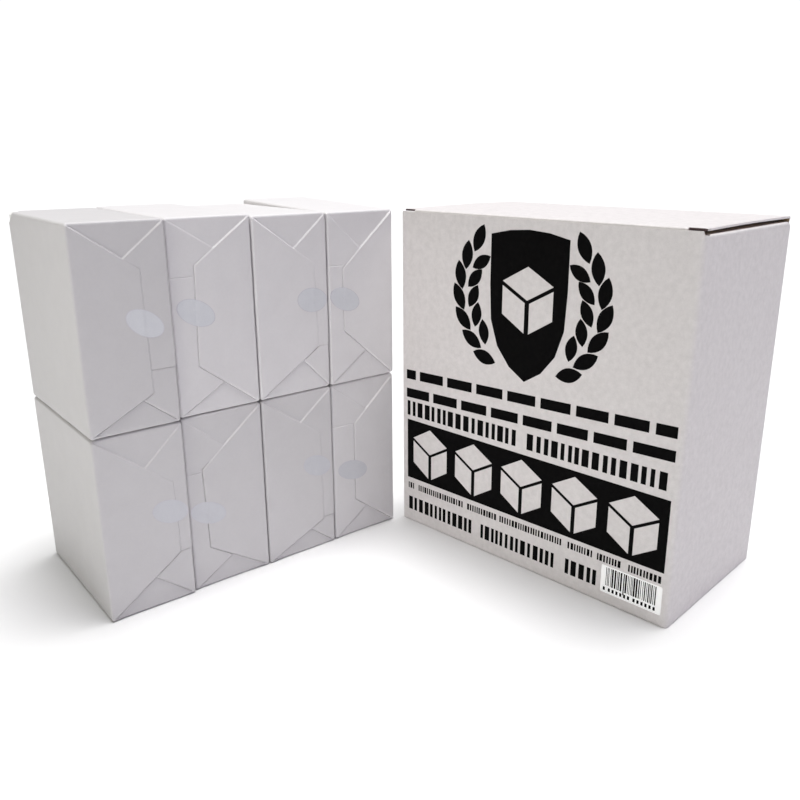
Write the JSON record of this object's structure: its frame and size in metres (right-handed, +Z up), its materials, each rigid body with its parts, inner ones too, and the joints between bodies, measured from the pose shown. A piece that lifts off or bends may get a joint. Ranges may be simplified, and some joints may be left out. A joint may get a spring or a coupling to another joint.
{
  "type": "boxed gymnastics chalk blocks",
  "caption": "Paper-wrapped chalk blocks for gymnastics grip, stacked beside the closed tuck-top carton that holds them.",
  "frame": {"origin": "middle of the plan box round stack and carton, on the surface they stand on", "axes": "+Z up; +X to the right along the display's longest extent, with the blocks on the left and the carton on the right; -Y towards the viewer"},
  "size_m": [0.315, 0.1543, 0.1537],
  "materials": {
    "carton_board": "matte",
    "label_paper": "satin",
    "wrapping_paper": "matte",
    "chalk": "matte",
    "seal_film": "satin",
    "print_ink": "matte"
  },
  "bodies": {
    "carton": {"front_panel": "carton_board", "back_panel": "carton_board", "left_side_panel": "carton_board", "right_side_panel": "carton_board", "glue_tab": "carton_board", "bottom_outer_flap": "carton_board", "bottom_inner_flap": "carton_board", "bottom_left_flap": "carton_board", "bottom_right_flap": "carton_board", "barcode_label": "label_paper"},
    "lid": {"lid_panel": "carton_board"},
    "tuck": {"tuck_flap": "carton_board"},
    "left_dust": {"left_dust_flap": "carton_board"},
    "right_dust": {"right_dust_flap": "carton_board"},
    "upper_1": {"upper_1_chalk": "chalk", "upper_1_wrapper": "wrapping_paper", "upper_1_front_seal": "seal_film", "upper_1_back_seal": "seal_film"},
    "upper_2": {"upper_2_chalk": "chalk", "upper_2_wrapper": "wrapping_paper", "upper_2_front_seal": "seal_film", "upper_2_back_seal": "seal_film"},
    "upper_3": {"upper_3_chalk": "chalk", "upper_3_wrapper": "wrapping_paper", "upper_3_front_seal": "seal_film", "upper_3_back_seal": "seal_film"},
    "upper_4": {"upper_4_chalk": "chalk", "upper_4_wrapper": "wrapping_paper", "upper_4_front_seal": "seal_film", "upper_4_back_seal": "seal_film"},
    "lower_1": {"lower_1_chalk": "chalk", "lower_1_wrapper": "wrapping_paper", "lower_1_front_seal": "seal_film", "lower_1_back_seal": "seal_film"},
    "lower_2": {"lower_2_chalk": "chalk", "lower_2_wrapper": "wrapping_paper", "lower_2_front_seal": "seal_film", "lower_2_back_seal": "seal_film"},
    "lower_3": {"lower_3_chalk": "chalk", "lower_3_wrapper": "wrapping_paper", "lower_3_front_seal": "seal_film", "lower_3_back_seal": "seal_film"},
    "lower_4": {"lower_4_chalk": "chalk", "lower_4_wrapper": "wrapping_paper", "lower_4_front_seal": "seal_film", "lower_4_back_seal": "seal_film"}
  },
  "joints": [
    {"name": "lid_hinge", "type": "hinge", "parent": "carton", "child": "lid", "pos_m": [0.10656, 0.02833, 0.152], "axis": [-0.7218, 0.6921, 0], "range_deg": [0, 200]},
    {"name": "tuck_crease", "type": "hinge", "parent": "lid", "child": "tuck", "pos_m": [0.05303, -0.0275, 0.152], "axis": [-0.7218, 0.6921, 0], "range_deg": [0, 50]},
    {"name": "left_dust_crease", "type": "hinge", "parent": "carton", "child": "left_dust", "pos_m": [0.02779, 0.04949, 0.1499], "axis": [-0.6921, -0.7218, 0], "range_deg": [0, 90]},
    {"name": "right_dust_crease", "type": "hinge", "parent": "carton", "child": "right_dust", "pos_m": [0.131, -0.04949, 0.1499], "axis": [0.6921, 0.7218, 0], "range_deg": [0, 90]},
    {"name": "upper_1_lift", "type": "slide", "parent": "carton", "child": "upper_1", "axis": [0, 0, 1], "range_m": [0, 0.09]},
    {"name": "upper_2_lift", "type": "slide", "parent": "carton", "child": "upper_2", "axis": [0, 0, 1], "range_m": [0, 0.09]},
    {"name": "upper_3_lift", "type": "slide", "parent": "carton", "child": "upper_3", "axis": [0, 0, 1], "range_m": [0, 0.09]},
    {"name": "upper_4_lift", "type": "slide", "parent": "carton", "child": "upper_4", "axis": [0, 0, 1], "range_m": [0, 0.09]},
    {"name": "lower_1_draw", "type": "slide", "parent": "carton", "child": "lower_1", "axis": [0.6401, -0.7683, 0], "range_m": [0, 0.085]},
    {"name": "lower_2_draw", "type": "slide", "parent": "carton", "child": "lower_2", "axis": [0.6401, -0.7683, 0], "range_m": [0, 0.085]},
    {"name": "lower_3_draw", "type": "slide", "parent": "carton", "child": "lower_3", "axis": [0.6401, -0.7683, 0], "range_m": [0, 0.085]},
    {"name": "lower_4_draw", "type": "slide", "parent": "carton", "child": "lower_4", "axis": [0.6401, -0.7683, 0], "range_m": [0, 0.085]}
  ],
  "couplings": [
    {"joint": "tuck_crease", "follows": "lid_hinge", "ratio": 0.25},
    {"joint": "left_dust_crease", "follows": "lid_hinge", "ratio": 0.45},
    {"joint": "right_dust_crease", "follows": "lid_hinge", "ratio": 0.45}
  ]
}
